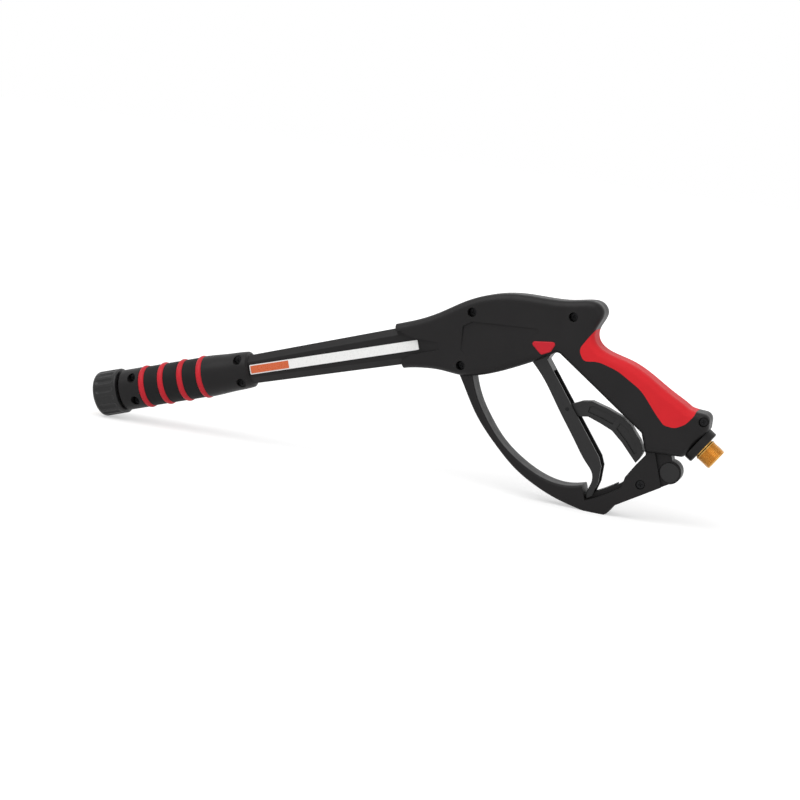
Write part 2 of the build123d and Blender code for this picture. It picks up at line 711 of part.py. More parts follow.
with BuildPart() as fitting_room:
    with BuildSketch(inlet_plane(-INLET_BODY_LENGTH - 1)):
        Circle(INLET_BODY_R + FIT)
    extrude(amount=INLET_BODY_LENGTH + 2)

# slot in the belly for the trigger, mouth and handle slot for the lock lever
belly_slot = side_prism(
    [(118, -52), (150, -52), (150, -24), (118, -24)], -TRIGGER_W - 0.6, TRIGGER_W + 0.6
)
lever_slot = side_prism(
    [(166, -62), (184, -62), (222, -100), (239, -118), (240, -128), (232, -137.5), (221, -144),
     (205, -152.7), (195, -156.9), (183, -161.4), (183, -150), (196, -122), (180, -96), (160, -70)],
    -MOUTH_W, MOUTH_W,
)

accent_outline = [
    body_point(126.6, -16), body_point(152.6, -21.2), body_point(144.6, -29.2), body_point(135.4, -30.4),
]
accent_floor, accent_face = BODY_W - 1.6, BODY_W + 0.9

with BuildPart() as details:
    # seats of the accent plate, the tongue's bolt and its cap, and the trigger pin's socket
    with BuildSketch(side_plane(accent_floor)) as seat:
        with BuildLine():
            Polyline(*accent_outline, close=True)
        make_face()
        fillet(seat.vertices(), ACCENT_ROUND)
        offset(amount=FIT)
    extrude(amount=6)
    with BuildSketch(side_plane(0)):
        with Locations(PIVOT):
            Circle(TRIGGER_PIN_R + FIT)
    extrude(amount=pin_seat + 0.1)
    with BuildSketch(side_plane(0)):
        with Locations(TONGUE):
            Circle(BOLT_R + FIT)
    extrude(amount=TONGUE_W)
    with BuildSketch(side_plane(TONGUE_W + CAP_PROUD - CAP_THICK)):
        with Locations(TONGUE):
            Circle(CAP_R + FIT)
    extrude(amount=8)

with BuildPart() as panel_cut:
    # the shallow panel's floor slopes out of the wall towards its lower edge
    slope = radians(3.2)
    panel_plane = Plane(
        origin=(BODY_FRONT, -BODY_W, -22), x_dir=(1, 0, 0), z_dir=(0, -cos(slope), sin(slope)),
    )
    with BuildSketch(panel_plane) as panel:
        with BuildLine():
            Polyline(
                (66, 30), (76, 32.5), (141, 14.5), (131, 10), (118, 0.3), (66, 0.3), (60, 8),
                close=True,
            )
        make_face()
        fillet(panel.vertices(), 2.0)
    extrude(amount=6)

with BuildPart() as notch_cut:
    # the notch between the collar's two lobes shows the shroud and runs out rearward
    with BuildSketch(side_plane(SHROUD_W + 0.2)):
        with BuildLine():
            Polyline(
                body_point(-6, 13.2), body_point(4.2, 13.2), body_point(9.5, 8.6),
                body_point(16, 4.6), body_point(20, 3.2), body_point(20, -10.8),
                body_point(10.4, -10.8), body_point(-2.5, -16.6), body_point(-6, -16.6), close=True,
            )
        make_face()
    extrude(amount=8)
    ramp = radians(10.2)
    ramp_plane = Plane(
        origin=(BODY_FRONT + 20, -SHROUD_W - 0.2, 0), x_dir=(cos(ramp), -sin(ramp), 0),
        z_dir=(-sin(ramp), -cos(ramp), 0),
    )
    with BuildSketch(ramp_plane):
        with BuildLine():
            Polyline((-0.4, 3.3), (19.3, -3.2), (19.3, -10.8), (-0.4, -10.8), close=True)
        make_face()
    extrude(amount=8)

with BuildPart() as casing_half:
    add(half(casing_outer, Keep.TOP))
    add(half(guard.part, Keep.TOP))
    add(half(rail.part, Keep.TOP))
    split(bisect_by=bench, keep=Keep.TOP)
    inner_cuts = [
        hollow.part, room.part, fitting_room.part, tube(TUBE_R + FIT, 0), belly_slot, lever_slot,
    ]
    add(inner_cuts, mode=Mode.SUBTRACT)
    add([inlay_room.part, details.part, panel_cut.part, notch_cut.part], mode=Mode.SUBTRACT)

with BuildPart() as casing_left:
    add(casing_half.part)
    with BuildSketch(side_plane(0)):
        with Locations(*screw_places):
            Circle(SCREW_R + FIT)
    extrude(amount=BODY_W, mode=Mode.SUBTRACT)
    for place, head in casing_screws_at:
        with BuildSketch(side_plane(head)):
            with Locations(place):
                Circle(SCREW_HOLE_R)
        extrude(amount=BODY_W, mode=Mode.SUBTRACT)
finish("casing_left", casing_left.part)

with BuildPart() as casing_right:
    add(mirror(casing_half.part, about=Plane.XZ, mode=Mode.PRIVATE))
    with BuildSketch(side_plane(-casing_tail - FIT)):
        with Locations(*screw_places):
            Circle(SCREW_R + FIT)
    extrude(amount=casing_tail + 1, mode=Mode.SUBTRACT)
finish("casing_right", casing_right.part)

with BuildPart() as casing_screws:
    for place, head in casing_screws_at:
        add(screw_group([place], head, casing_tail))
finish("casing_screws", casing_screws.part)

for name, side in (("left", 1), ("right", -1)):
    with BuildPart() as accent:
        with BuildSketch(side_plane(side * accent_floor)) as face:
            with BuildLine():
                Polyline(*accent_outline, close=True)
            make_face()
            fillet(face.vertices(), ACCENT_ROUND)
        extrude(amount=side * (accent_face - accent_floor))
        chamfer(accent.faces().sort_by(Axis.Y)[0 if side > 0 else -1].edges(), 0.7)
    finish(f"accent_{name}", accent.part)

    with BuildPart() as cap:
        with BuildSketch(side_plane(side * (TONGUE_W + CAP_PROUD - CAP_THICK))):
            with Locations(TONGUE):
                Circle(CAP_R)
        extrude(amount=side * CAP_THICK)
        chamfer(cap.faces().sort_by(Axis.Y)[0 if side > 0 else -1].edges(), 0.5)
    finish(f"tongue_cap_{name}", cap.part)

with BuildPart() as bolt:
    with BuildSketch(side_plane(-(TONGUE_W + CAP_PROUD - CAP_THICK))):
        with Locations(TONGUE):
            Circle(BOLT_R)
    extrude(amount=2 * (TONGUE_W + CAP_PROUD - CAP_THICK))
finish("tongue_bolt", bolt.part)

# ---------------------------------------------------------------- trigger and lock lever
push_z = CARTRIDGE_Z
push_rear = VALVE_REAR + PUSH_PIN_REACH
nose_r = 3.0

with BuildPart() as trigger:
    with BuildSketch(side_plane(-TRIGGER_W)):
        with Locations(PIVOT):
            Circle(TRIGGER_HEAD_R)
        with Locations((push_rear + REVEAL + nose_r, push_z)):
            Circle(nose_r)
        make_hull()
    extrude(amount=2 * TRIGGER_W)
    with BuildSketch(side_plane(-TRIGGER_W)):
        with BuildLine():
            Polyline(body_point(133, -27), body_point(121.9, -31.8))
            Spline(
                body_point(121.9, -31.8), body_point(129.5, -47.8), body_point(140.4, -81.8),
                body_point(151.1, -115.8), body_point(158, -136.3), body_point(161.8, -147.2),
                body_point(159.6, -155.8), body_point(153.6, -163.8),
                tangents=[(0.45, -1), (-0.6, -1)],
            )
            Polyline(
                body_point(153.6, -163.8), body_point(153.3, -169.2), body_point(158.8, -167.6),
                body_point(166.5, -156.4), body_point(171.8, -142), body_point(171.2, -132.8),
                body_point(155.3, -86.1), body_point(138.4, -36), body_point(145, -30),
                body_point(147, -27), body_point(133, -27),
            )
        make_face()
    extrude(amount=2 * TRIGGER_W)
    outer_rims = trigger.faces().filter_by(Axis.Y).edges().filter_by(lambda e: e.center().Z < -50)
    outer_rims = outer_rims.filter_by(lambda e: e.length > 90)
    fillet(outer_rims, 1.6)
    # the channel behind the front web, open to the rear and round the rail at the tip
    add(side_prism(
        [(135.2, -50), (144.4, -79), (145, -89), (154.6, -115), (161.4, -136), (165.3, -147.2),
         (162.2, -157), (157.6, -163), (145, -163.2), (145, -176), (185, -176), (185, -50), (142.6, -47)],
        -TRIGGER_INSIDE, TRIGGER_INSIDE), mode=Mode.SUBTRACT)
    with BuildSketch(side_plane(-TRIGGER_W)):
        with Locations(PIVOT):
            Circle(TRIGGER_PIN_R + RUN)
        with Locations(LOCK):
            Circle(LOCK_PIN_R + FIT)
    extrude(amount=2 * TRIGGER_W, mode=Mode.SUBTRACT)
finish("trigger", trigger.part)

with BuildPart() as trigger_pin:
    with BuildSketch(side_plane(-pin_seat)):
        with Locations(PIVOT):
            Circle(TRIGGER_PIN_R)
    extrude(amount=2 * pin_seat)
finish("trigger_pin", trigger_pin.part)

with BuildPart() as lock_pin:
    with BuildSketch(side_plane(-TRIGGER_W)):
        with Locations(LOCK):
            Circle(LOCK_PIN_R)
    extrude(amount=2 * TRIGGER_W)
finish("lock_pin", lock_pin.part)

with BuildPart() as lock_lever:
    with BuildSketch(side_plane(-LOCK_W)) as lever_outline:
        with BuildLine():
            Polyline(
                body_point(149.6, -80.8), body_point(156.4, -80.2), body_point(163.9, -79.3),
                body_point(172.7, -80.7), body_point(186.4, -89.8), body_point(198.9, -100.1),
                body_point(205.1, -108.5), body_point(211, -123.4), body_point(212.6, -134),
            )
            ThreePointArc(body_point(212.6, -134), body_point(208.4, -138.9), body_point(203.4, -143.2))
            Polyline(
                body_point(203.4, -143.2), body_point(194.1, -122.9), body_point(186.7, -110.6),
                body_point(176.7, -102), body_point(166.6, -94.4), body_point(160, -93.4),
                body_point(150.2, -88.2), body_point(149.6, -80.8),
            )
        make_face()
        with Locations(LOCK):
            Circle(LOCK_HEAD_R)
    extrude(amount=2 * LOCK_W)
    knees = lock_lever.edges().filter_by(Axis.Y)
    knees = knees.filter_by(lambda e: body_point(158, 0)[0] < e.center().X < body_point(207, 0)[0])
    knees = knees.filter_by(lambda e: e.center().Z > -124)
    fillet(knees, 3.0)
    for side in (1, -1):
        for pocket in (
            [(170, -85.6), (173.5, -85.4), (185.2, -93.4), (192.8, -99.7), (188.6, -105.2), (178, -97.2),
             (167.2, -90.2)],
            [(195.6, -104.2), (200.8, -110.6), (206.4, -124.2), (207.2, -133), (203.6, -136.2),
             (198, -122), (191, -109.6)],
        ):
            with BuildSketch(side_plane(side * (LOCK_W - LOCK_POCKET))) as sunk:
                with BuildLine():
                    Polyline(*[body_point(*point) for point in pocket], close=True)
                make_face()
                fillet(sunk.vertices(), 1.0)
            extrude(amount=side * 5, mode=Mode.SUBTRACT)
    with BuildSketch(side_plane(-LOCK_W)):
        with Locations(LOCK):
            Circle(LOCK_PIN_R + RUN)
    extrude(amount=2 * LOCK_W, mode=Mode.SUBTRACT)
finish("lock_lever", lock_lever.part)

# ---------------------------------------------------------------- valve
chamber_front = VALVE_X + 21
gland_front = VALVE_REAR - 12
seat_front, seat_length = VALVE_X + 40, 4.0
seat_bore = PUSH_PIN_R + 0.6
ball_x = seat_front - sqrt(BALL_R**2 - seat_bore**2) - 0.3
cartridge = Axis((0, 0, CARTRIDGE_Z), (1, 0, 0))

with BuildPart() as valve_body:
    with BuildSketch(side_plane(-VALVE_W)):
        with Locations(((VALVE_X + VALVE_REAR) / 2, (VALVE_TOP + VALVE_BOTTOM) / 2)):
            Rectangle(VALVE_LENGTH, VALVE_TOP - VALVE_BOTTOM)
    extrude(amount=2 * VALVE_W)
    chamfer(valve_body.edges().filter_by(Axis.X), 2.0)
    with BuildSketch(Plane.YZ.offset(VALVE_X - 1)):
        Circle(LANCE_R + FIT)
    extrude(amount=LANCE_SOCKET + 1 + SEAM, mode=Mode.SUBTRACT)
    with BuildSketch(Plane.YZ.offset(VALVE_REAR + 1)):
        with Locations((0, CARTRIDGE_Z)):
            Circle(CARTRIDGE_R)
    extrude(amount=chamber_front - VALVE_REAR - 1, mode=Mode.SUBTRACT)
    with BuildSketch(Plane.YZ.offset(VALVE_REAR + 1)):
        with Locations((0, PORT_Z)):
            Circle(TUBE_R + FIT)
    extrude(amount=-13 - SEAM, mode=Mode.SUBTRACT)
    with BuildSketch(Plane.YZ.offset(VALVE_REAR - 11)):
        with Locations((0, PORT_Z)):
            Circle(TUBE_BORE_R)
    extrude(amount=-25, mode=Mode.SUBTRACT)
    with BuildSketch(Plane.XY.offset(CARTRIDGE_Z)):
        with Locations((chamber_front + 11, 0)):
            Circle(2.4)
    extrude(amount=PORT_Z - CARTRIDGE_Z, mode=Mode.SUBTRACT)
finish("valve_body", valve_body.part)


def cartridge_ring(front: float, length: float, bore: float, name: str) -> None:
    """A ring seated in the valve's cartridge bore."""
    with BuildPart() as ring_part:
        with BuildSketch(Plane.YZ.offset(front)):
            with Locations((0, CARTRIDGE_Z)):
                Circle(CARTRIDGE_R - FIT)
                Circle(bore, mode=Mode.SUBTRACT)
        extrude(amount=length)
    finish(name, ring_part.part)


cartridge_ring(seat_front, seat_length, seat_bore, "valve_seat")
cartridge_ring(gland_front, 12 + 2.5, PUSH_PIN_R + RUN, "gland_nut")
cartridge_ring(gland_front - 3.4, 3.3, PUSH_PIN_R + RUN, "pin_seal")

with BuildPart() as ball:
    with Locations((ball_x, 0, CARTRIDGE_Z)):
        Sphere(BALL_R)
finish("valve_ball", ball.part)

with BuildPart() as push_pin:
    with BuildSketch(Plane.YZ.offset(ball_x + BALL_R + 0.02)):
        with Locations((0, CARTRIDGE_Z)):
            Circle(PUSH_PIN_R)
    extrude(amount=push_rear - ball_x - BALL_R - 0.02)
    chamfer(push_pin.faces().sort_by(Axis.X)[-1].edges(), 0.5)
finish("push_pin", push_pin.part)

spring_wire = 0.5
lift = radians(TRIGGER_TRAVEL) * (push_z - PIVOT_Z)
spring_length = ball_x - BALL_R - lift - REVEAL - chamber_front - 2 * spring_wire
with BuildPart() as spring:
    with BuildLine() as coil:
        Helix(
            pitch=spring_length / 5, height=spring_length, radius=3.2,
            center=(chamber_front + spring_wire, 0, CARTRIDGE_Z), direction=(1, 0, 0),
        )
    with BuildSketch(Plane(origin=coil.line @ 0, z_dir=coil.line % 0)):
        Circle(spring_wire)
    sweep(path=coil.line, is_frenet=True)
finish("valve_spring", spring.part)

# ---------------------------------------------------------------- inlet
inlet_x, inlet_z = inlet_point(0)
inlet_dir = (cos(radians(INLET_ANGLE)), 0, -sin(radians(INLET_ANGLE)))
inlet_side = Plane(origin=(inlet_x, 0, inlet_z), x_dir=inlet_dir, z_dir=(0, -1, 0))
inlet_axis = Axis((inlet_x, 0, inlet_z), inlet_dir)

with BuildPart() as fitting:
    with BuildSketch(inlet_side):
        with BuildLine():
            Polyline(
                (-INLET_BODY_LENGTH, TUBE_R + FIT), (-INLET_BODY_LENGTH, INLET_BODY_R),
                (0.9, INLET_BODY_R), (1.9, INLET_R),
                (INLET_LENGTH - 1.2, INLET_R), (INLET_LENGTH, INLET_R - 1.2),
                (INLET_LENGTH, INLET_BORE_R), (-INLET_BODY_LENGTH + 10.1, INLET_BORE_R),
                (-INLET_BODY_LENGTH + 10.1, TUBE_R + FIT), close=True,
            )
        make_face()
    revolve(axis=inlet_axis)
finish("inlet_fitting", fitting.part)

with BuildPart() as collar:
    with BuildSketch(inlet_side) as section:
        with Locations((-COLLAR_THICK / 2, (COLLAR_R + INLET_BODY_R + FIT) / 2)):
            Rectangle(COLLAR_THICK, COLLAR_R - INLET_BODY_R - FIT)
        rim = section.vertices().group_by(Axis((inlet_x, 0, inlet_z), (-inlet_dir[2], 0, inlet_dir[0])))[-1]
        fillet(rim, 1.6)
    revolve(axis=inlet_axis)
finish("inlet_collar", collar.part)

# ---------------------------------------------------------------- stand the gun up and export
stand = Location((0, 0, 0), (0, -degrees(STANCE), 0))
lifted = {name: piece.moved(stand) for name, piece in pieces.items()}
boxes = [piece.bounding_box() for piece in lifted.values()]
low_x, high_x = min(box.min.X for box in boxes), max(box.max.X for box in boxes)
shift = Location((-(low_x + high_x) / 2, 0, -(pad_x * sin(STANCE) + pad_z * cos(STANCE))))

os.makedirs("parts", exist_ok=True)
for name, piece in lifted.items():
    placed = piece.moved(shift)
    placed.label = name
    export_step(placed, f"parts/{name}.step")
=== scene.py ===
"""Dresses and lights a high-pressure washer spray gun that rests on a pale bench."""

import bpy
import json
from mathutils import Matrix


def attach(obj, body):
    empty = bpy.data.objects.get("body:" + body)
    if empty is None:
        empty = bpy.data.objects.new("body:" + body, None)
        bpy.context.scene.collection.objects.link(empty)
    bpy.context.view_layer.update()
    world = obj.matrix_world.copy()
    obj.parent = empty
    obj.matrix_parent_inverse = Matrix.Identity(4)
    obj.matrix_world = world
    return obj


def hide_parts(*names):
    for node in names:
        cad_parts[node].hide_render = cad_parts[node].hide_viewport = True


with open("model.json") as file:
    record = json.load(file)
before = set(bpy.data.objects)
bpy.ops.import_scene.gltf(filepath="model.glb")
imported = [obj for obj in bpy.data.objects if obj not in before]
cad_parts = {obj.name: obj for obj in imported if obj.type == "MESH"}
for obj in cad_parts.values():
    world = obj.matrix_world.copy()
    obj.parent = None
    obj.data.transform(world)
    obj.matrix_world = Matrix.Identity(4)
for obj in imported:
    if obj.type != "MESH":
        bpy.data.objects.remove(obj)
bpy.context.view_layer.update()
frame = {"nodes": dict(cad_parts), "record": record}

import json
import logging
import math
from abc import ABC, abstractmethod
from dataclasses import dataclass
from enum import Enum
from functools import cache
from typing import Optional, Union

import bpy
from mathutils import Matrix, Vector

log = logging.getLogger("spray_gun")

Triple = tuple[float, float, float]
Value = Union[float, tuple[float, ...], "Wire"]
Settings = dict[str, object]
Inputs = dict[Union[str, int], Value]
MM = 0.001
WHITE: Triple = (1.0, 1.0, 1.0)
MIDDLE = 0.5  # the mean of a noise field


# ---------------------------------------------------------------- shader expressions
class Wire:
    """A node's output that takes part in arithmetic with numbers and other outputs."""

    def __init__(self, bench: "NodeBench", socket: bpy.types.NodeSocket) -> None:
        """Keeps the output and the bench that holds its nodes.

        Args:
            bench: The bench whose tree the output belongs to.
            socket: The output.
        """
        self.bench = bench
        self.socket = socket

    def _combine(self, operation: str, *values: Value) -> "Wire":
        """Adds one Math node, or one Vector Math node where this output is a vector.

        Args:
            operation: The node's operation.
            *values: Its values or links, in order.

        Returns:
            The node's first output.
        """
        kind = "ShaderNodeVectorMath" if self.socket.type == "VECTOR" else "ShaderNodeMath"
        return self.bench.wire(kind, 0, {"operation": operation}, dict(enumerate(values)))

    def __add__(self, other: Value) -> "Wire":
        """Returns self + other."""
        return self._combine("ADD", self, other)

    def __radd__(self, other: Value) -> "Wire":
        """Returns other + self."""
        return self._combine("ADD", other, self)

    def __sub__(self, other: Value) -> "Wire":
        """Returns self - other."""
        return self._combine("SUBTRACT", self, other)

    def __rsub__(self, other: Value) -> "Wire":
        """Returns other - self."""
        return self._combine("SUBTRACT", other, self)

    def __mul__(self, other: Value) -> "Wire":
        """Returns self * other."""
        return self._combine("MULTIPLY", self, other)

    def __rmul__(self, other: Value) -> "Wire":
        """Returns other * self."""
        return self._combine("MULTIPLY", other, self)

    def __truediv__(self, other: Value) -> "Wire":
        """Returns self / other."""
        return self._combine("DIVIDE", self, other)

    def __rtruediv__(self, other: Value) -> "Wire":
        """Returns other / self."""
        return self._combine("DIVIDE", other, self)

    def sine(self) -> "Wire":
        """Returns the sine of a number in radians."""
        return self._combine("SINE", self)

    def dot(self, axis: Triple) -> "Wire":
        """Returns how far a vector reaches along an axis of length one."""
        inputs: Inputs = {0: self, 1: axis}
        return self.bench.wire("ShaderNodeVectorMath", "Value", {"operation": "DOT_PRODUCT"}, inputs)

    def length(self) -> "Wire":
        """Returns the length of a vector."""
        return self.bench.wire("ShaderNodeVectorMath", "Value", {"operation": "LENGTH"}, {0: self})

    def above(self, edge: float, blend: float) -> "Wire":
        """Rises smoothly from 0 to 1 round an edge.

        Args:
            edge: The value at the middle of the rise.
            blend: Half the width of the rise.

        Returns:
            The mask.
        """
        return self.bench.wire(
            "ShaderNodeMapRange",
            0,
            {"interpolation_type": "SMOOTHSTEP"},
            {"Value": self, "From Min": edge - blend, "From Max": edge + blend},
        )


class NodeBench:
    """Builds the nodes of one tree."""

    def __init__(self, tree: bpy.types.NodeTree) -> None:
        """Takes over a tree and empties it.

        Args:
            tree: The node tree of a material or a world.
        """
        self.tree = tree
        self.tree.nodes.clear()

    def node(
        self, kind: str, settings: Optional[Settings] = None, inputs: Optional[Inputs] = None
    ) -> bpy.types.Node:
        """Makes any node, sets it up, and then fills its sockets.

        Args:
            kind: The node's type.
            settings: The node's own settings, such as its operation.
            inputs: Values or links by socket name or index.

        Returns:
            The node.
        """
        node = self.tree.nodes.new(kind)
        for name, setting in (settings or {}).items():
            setattr(node, name, setting)
        for key, value in (inputs or {}).items():
            self.feed(node.inputs[key], value)
        return node

    def wire(
        self,
        kind: str,
        output: Union[str, int],
        settings: Optional[Settings] = None,
        inputs: Optional[Inputs] = None,
    ) -> Wire:
        """Makes any node and picks one of its outputs.

        Args:
            kind: The node's type.
            output: The output's name or index.
            settings: The node's own settings, such as its operation.
            inputs: Values or links by socket name or index.

        Returns:
            The output.
        """
        return Wire(self, self.node(kind, settings, inputs).outputs[output])

    def feed(self, socket: bpy.types.NodeSocket, value: Value) -> None:
        """Links or sets one input socket.

        Args:
            socket: The input.
            value: A number, a vector, a colour or a Wire.
        """
        if isinstance(value, Wire):
            self.tree.links.new(value.socket, socket)
        elif socket.type == "RGBA":
            socket.default_value = (*value, 1.0)
        else:
            socket.default_value = value

    def in_view(self) -> Wire:
        """Tells the rays that are seen from those that only carry light.

        Returns:
            1 on a ray from the camera or from a gloss, and otherwise 0.
        """
        path = self.node("ShaderNodeLightPath")
        seen = Wire(self, path.outputs["Is Camera Ray"])
        mirrored = Wire(self, path.outputs["Is Glossy Ray"])
        return seen + mirrored

    def mix_shaders(self, factor: Value, first: Wire, second: Wire) -> Wire:
        """Returns a mix of two shaders, where the factor is the share of the second."""
        return self.wire("ShaderNodeMixShader", 0, {}, {0: factor, 1: first, 2: second})


class MaterialBench(NodeBench):
    """Builds one material."""

    def __init__(self, name: str) -> None:
        """Starts an empty material.

        Args:
            name: The material's name.
        """
        self.material = bpy.data.materials.new(name)
        self.material.use_nodes = True
        super().__init__(self.material.node_tree)

    def place(self) -> Wire:
        """Returns the point on the piece, in metres in the gun's own frame."""
        return self.wire("ShaderNodeTexCoord", "Object")

    def noise(self, size: float, detail: float) -> Wire:
        """Adds a noise field.

        Args:
            size: The size of its features, in millimetres.
            detail: How many finer octaves it carries.

        Returns:
            The noise, about 0 to 1.
        """
        inputs: Inputs = {"Vector": self.place(), "Scale": 1.0 / (size * MM), "Detail": detail}
        return self.wire("ShaderNodeTexNoise", 0, {}, inputs)

    def mix(self, factor: Value, first: Value, second: Value) -> Wire:
        """Mixes two colours.

        Args:
            factor: The share of the second colour.
            first: The first colour.
            second: The second colour.

        Returns:
            The mixed colour.
        """
        inputs: Inputs = {0: factor, 6: first, 7: second}
        return self.wire("ShaderNodeMix", 2, {"data_type": "RGBA"}, inputs)

    def bump(self, height: Wire, depth: float, rounding: float) -> Wire:
        """Turns a height field into a normal, with the piece's edges softened.

        Args:
            height: The height, 0 to 1.
            depth: What 1 stands for, in millimetres.
            rounding: The radius that softens the edges, in millimetres.

        Returns:
            The normal.
        """
        softened = self.wire("ShaderNodeBevel", 0, {"samples": 4}, {"Radius": rounding * MM})
        inputs: Inputs = {"Height": height, "Distance": depth * MM, "Normal": softened}
        return self.wire("ShaderNodeBump", 0, {}, inputs)

    def principled(self, **sockets: Value) -> Wire:
        """Makes a principled shader.

        Args:
            **sockets: Values or links by socket name, with _ for a space.

        Returns:
            The shader.
        """
        inputs: Inputs = {name.replace("_", " "): value for name, value in sockets.items()}
        return self.wire("ShaderNodeBsdfPrincipled", 0, {}, inputs)

    def surface(self, shader: Wire) -> bpy.types.Material:
        """Puts a shader on the surface and returns the finished material."""
        self.node("ShaderNodeOutputMaterial", {}, {"Surface": shader})
        return self.material


# ---------------------------------------------------------------- finishes
class Gloss(Enum):
    """How shiny a moulded surface is, as its roughness."""

    MATT = 0.62
    SATIN = 0.42
    SEMI = 0.33


@dataclass(frozen=True)
class Axis:
    """A line that a piece is turned about, in metres in the gun's own frame."""

    origin: Triple
    direction: Triple

    @classmethod
    def of_mount(cls, name: str) -> "Axis":
        """Returns the axis through one of the frame's mounts, found by its name."""
        mounts = {mount["name"]: mount for mount in frame["record"]["mounts"]}
        return cls(tuple(mounts[name]["pos_m"]), tuple(mounts[name]["axis"]))


@dataclass(frozen=True)
class Finish(ABC):
    """What a piece is made of, and how its surface looks.

    A field named after a feature alone is its size in millimetres. With _depth it is its height
    in millimetres, with _gloss what it adds to the roughness, with _dark or _light a share of the
    colour, with _edge and _blend where its mask rises, and with _share its part of a mix.
    """

    name: str
    colour: Triple

    @abstractmethod
    def material(self) -> bpy.types.Material:
        """Returns a new material with this finish."""

    def shade(self, share: float, lift: float = 0.0) -> Triple:
        """Returns the colour times a share, lifted by a little grey, and at most white."""
        return tuple(min(1.0, channel * share + lift) for channel in self.colour)


@dataclass(frozen=True)
class MouldedPlastic(Finish):
    """Injection-moulded plastic with a spark-eroded grain, flow marks and rubbed patches."""

    gloss: Gloss = Gloss.SATIN
    specular: float = 0.22
    grain: float = 0.55
    grain_depth: float = 0.05
    grain_gloss: float = 0.10
    rounding: float = 0.35
    flow: float = 28.0
    flow_dark: float = 0.86
    flow_light: float = 1.12
    flow_lift: float = 0.002
    patch: float = 9.0
    patch_edge: float = 0.56
    patch_blend: float = 0.16
    patch_gloss: float = 0.07

    def material(self) -> bpy.types.Material:
        """Makes the plastic's material.

        Returns:
            The material.
        """
        bench = MaterialBench(self.name)
        grain = bench.noise(self.grain, 3.0)
        flow = bench.noise(self.flow, 2.0)
        rubbed = bench.noise(self.patch, 4.0).above(self.patch_edge, self.patch_blend)
        dark, light = self.shade(self.flow_dark), self.shade(self.flow_light, self.flow_lift)
        roughness = self.gloss.value + self.grain_gloss * (grain - MIDDLE)
        shader = bench.principled(
            Base_Color=bench.mix(flow, dark, light),
            Roughness=roughness + self.patch_gloss * rubbed,
            Normal=bench.bump(grain, self.grain_depth, self.rounding),
            Specular_IOR_Level=self.specular,
        )
        return bench.surface(shader)


@dataclass(frozen=True)
class SoftGrip(Finish):
    """Soft overmoulded rubber with a fine even skin and worn clouds."""

    roughness: float = 0.52
    specular: float = 0.14
    skin: float = 0.35
    skin_depth: float = 0.03
    skin_gloss: float = 0.12
    rounding: float = 0.4
    cloud: float = 14.0
    cloud_dark: float = 0.88
    cloud_edge: float = 0.55
    cloud_blend: float = 0.2
    cloud_gloss: float = 0.08

    def material(self) -> bpy.types.Material:
        """Makes the soft grip's material.

        Returns:
            The material.
        """
        bench = MaterialBench(self.name)
        skin = bench.noise(self.skin, 2.0)
        cloud = bench.noise(self.cloud, 3.0)
        worn = cloud.above(self.cloud_edge, self.cloud_blend)
        roughness = self.roughness + self.skin_gloss * (skin - MIDDLE)
        shader = bench.principled(
            Base_Color=bench.mix(cloud, self.shade(self.cloud_dark), self.colour),
            Roughness=roughness + self.cloud_gloss * worn,
            Normal=bench.bump(skin, self.skin_depth, self.rounding),
            Specular_IOR_Level=self.specular,
        )
        return bench.surface(shader)


@dataclass(frozen=True)
class TurnedMetal(Finish):
    """Metal with the fine rings that a lathe tool leaves, tarnish and small scuffs."""

    axis: Axis
    slot: str = "brass"
    roughness: float = 0.26
    feed_pitch: float = 0.22
    feed_depth: float = 0.012
    feed_share: float = 0.6
    rounding: float = 0.2
    tarnish: float = 7.0
    tarnish_edge: float = 0.62
    tarnish_blend: float = 0.12
    tarnish_share: float = 0.7
    tarnish_dark: float = 0.8
    tarnish_gloss: float = 0.14
    scuff: float = 0.7
    scuff_gloss: float = 0.10

    def rings(self, bench: MaterialBench) -> Wire:
        """Makes the rings of the lathe's feed.

        Args:
            bench: The bench of the metal's material.

        Returns:
            The rings' height, 0 to 1.
        """
        station = (bench.place() - self.axis.origin).dot(self.axis.direction) / MM
        return (station * (2 * math.pi / self.feed_pitch)).sine() * 0.5 + 0.5

    def material(self) -> bpy.types.Material:
        """Makes the turned metal's material.

        Returns:
            The material.
        """
        bench = MaterialBench(self.name)
        tarnish = bench.noise(self.tarnish, 4.0).above(self.tarnish_edge, self.tarnish_blend)
        scuff = bench.noise(self.scuff, 3.0)
        height = self.feed_share * self.rings(bench) + (1.0 - self.feed_share) * scuff
        stained = self.tarnish_share * tarnish
        roughness = self.roughness + self.tarnish_gloss * tarnish
        shader = bench.principled(
            Base_Color=bench.mix(stained, self.colour, self.shade(self.tarnish_dark)),
            Metallic=1.0,
            Roughness=roughness + self.scuff_gloss * (scuff - MIDDLE),
            Normal=bench.bump(height, self.feed_depth, self.rounding),
        )
        return bench.surface(shader)


@dataclass(frozen=True)
class DrawnSteel(Finish):
    """Steel with fine scratches and faint clouds."""

    roughness: float = 0.3
    scratch: float = 0.4
    scratch_depth: float = 0.008
    scratch_gloss: float = 0.16
    rounding: float = 0.15
    cloud: float = 6.0
    cloud_dark: float = 0.85

    def material(self) -> bpy.types.Material:
        """Makes the steel's material.

        Returns:
            The material.
        """
        bench = MaterialBench(self.name)
        scratch = bench.noise(self.scratch, 5.0)
        cloud = bench.noise(self.cloud, 2.0)
        shader = bench.principled(
            Base_Color=bench.mix(cloud, self.shade(self.cloud_dark), self.colour),
            Metallic=1.0,
            Roughness=self.roughness + self.scratch_gloss * (scratch - MIDDLE),
            Normal=bench.bump(scratch, self.scratch_depth, self.rounding),
        )
        return bench.surface(shader)


